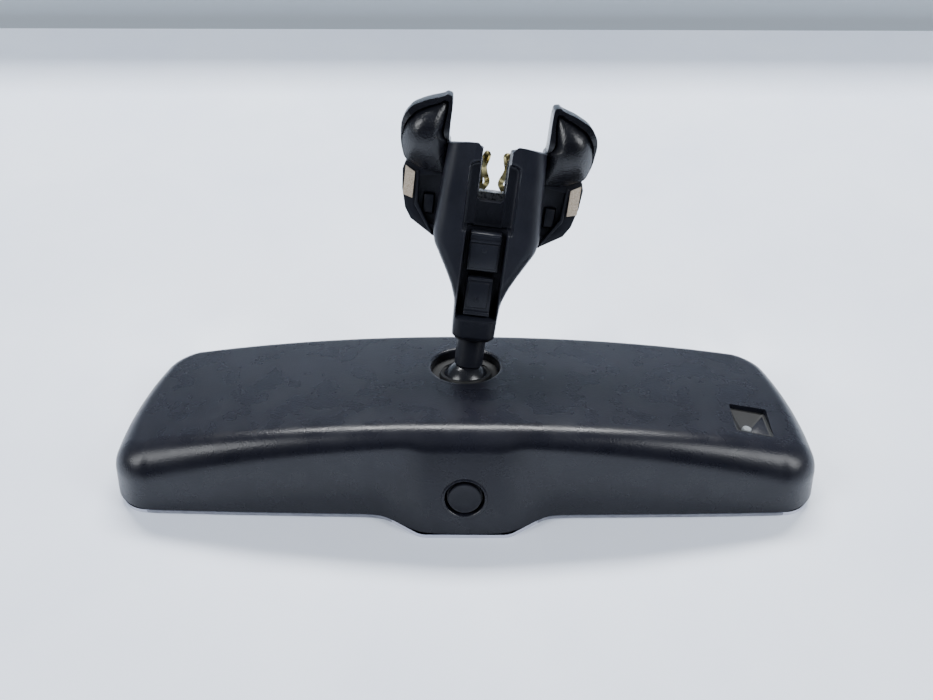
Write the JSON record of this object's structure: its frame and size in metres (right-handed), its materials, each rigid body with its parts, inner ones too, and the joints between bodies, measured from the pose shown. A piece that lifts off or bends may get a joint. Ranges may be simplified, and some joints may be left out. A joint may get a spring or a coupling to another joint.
{
  "type": "interior rearview mirror",
  "caption": "Wide interior rearview mirror with a dimming glass, grained back shell with chin button and a ball-jointed arm that forks at its foot.",
  "frame": {"origin": "on the outer glass face, directly under the centre of the ball joint's hole", "axes": "+X along the mirror's length, to the right seen from the chin's side; +Y away from the chin; +Z out of the mirror's back"},
  "size_m": [0.2484, 0.1082, 0.1157],
  "materials": {
    "housing_plastic": "fine moulded grain, black",
    "mirror_glass": "silvered dimming glass with a polished edge",
    "clear_glass": "float glass",
    "seal_epoxy": "grey epoxy",
    "spring_metal": "tinned copper strip",
    "foam": "closed-cell foam tape",
    "inner_plastic": "glass-filled black plastic",
    "board_laminate": "green solder mask",
    "screw_steel": "zinc-plated steel",
    "sensor_plastic": "moulded component bodies",
    "window_plastic": "smooth black plastic",
    "pipe_plastic": "frosted clear plastic",
    "button_plastic": "fine grain, black",
    "seat_plastic": "smooth acetal",
    "ball_coating": "black coated steel",
    "arm_plastic": "satin black plastic",
    "wing_plastic": "speckled black plastic",
    "connector_plastic": "moulded connector bodies",
    "wire_rubber": "insulated wires",
    "cast_metal": "rough die-cast zinc",
    "gold_chromate": "yellow-chromated spring steel",
    "beige_felt": "felt"
  },
  "bodies": {
    "head": {"back_housing": "housing_plastic", "front_glass": "mirror_glass", "epoxy_seal": "seal_epoxy", "rear_glass": "clear_glass", "upper_bus_clip": "spring_metal", "lower_bus_clip": "spring_metal", "foam_pad": "foam", "carrier_plate": "inner_plastic", "circuit_board": "board_laminate", "board_screws": "screw_steel", "glare_sensor": "sensor_plastic", "board_connector": "sensor_plastic", "control_chip": "sensor_plastic", "forward_sensor": "sensor_plastic", "sensor_window": "window_plastic", "light_pipe": "pipe_plastic", "dimming_switch": "sensor_plastic", "switch_board": "board_laminate", "socket_base": "inner_plastic", "clamp_ring": "inner_plastic", "socket_screws": "screw_steel"},
    "outer_seat": {"outer_ball_seat": "seat_plastic"},
    "inner_seat": {"inner_ball_seat": "seat_plastic"},
    "arm": {"ball_stud": "ball_coating", "stem_sleeve": "arm_plastic", "wire_harness": "wire_rubber", "arm_shell": "arm_plastic", "foot_plate": "cast_metal", "foot_screws": "screw_steel", "left_retaining_spring": "gold_chromate", "right_retaining_spring": "gold_chromate", "left_wing": "wing_plastic", "right_wing": "wing_plastic", "left_bracket": "wing_plastic", "right_bracket": "wing_plastic", "left_felt_pad": "beige_felt", "right_felt_pad": "beige_felt", "lower_connector": "connector_plastic", "upper_connector": "connector_plastic"},
    "button": {"dimming_button": "button_plastic"}
  },
  "joints": [
    {"name": "arm_pitch", "type": "hinge", "parent": "head", "child": "outer_seat", "pos_m": [0, -0.0004, 0.0178], "axis": [1, 0, 0], "range_deg": [-16, 36]},
    {"name": "arm_roll", "type": "hinge", "parent": "outer_seat", "child": "inner_seat", "pos_m": [0, -0.0004, 0.0178], "axis": [0, 0.891, -0.454], "range_deg": [-29, 15]},
    {"name": "arm_turn", "type": "hinge", "parent": "inner_seat", "child": "arm", "pos_m": [0, -0.0004, 0.0178], "axis": [0.1219, 0.4506, 0.8844], "range_deg": [-60, 60]},
    {"name": "button_press", "type": "slide", "parent": "head", "child": "button", "axis": [0, 0.9205, -0.3907], "range_m": [0, 0.0008], "stiffness_N_per_m": 2000, "springref_m": -0.0004}
  ]
}
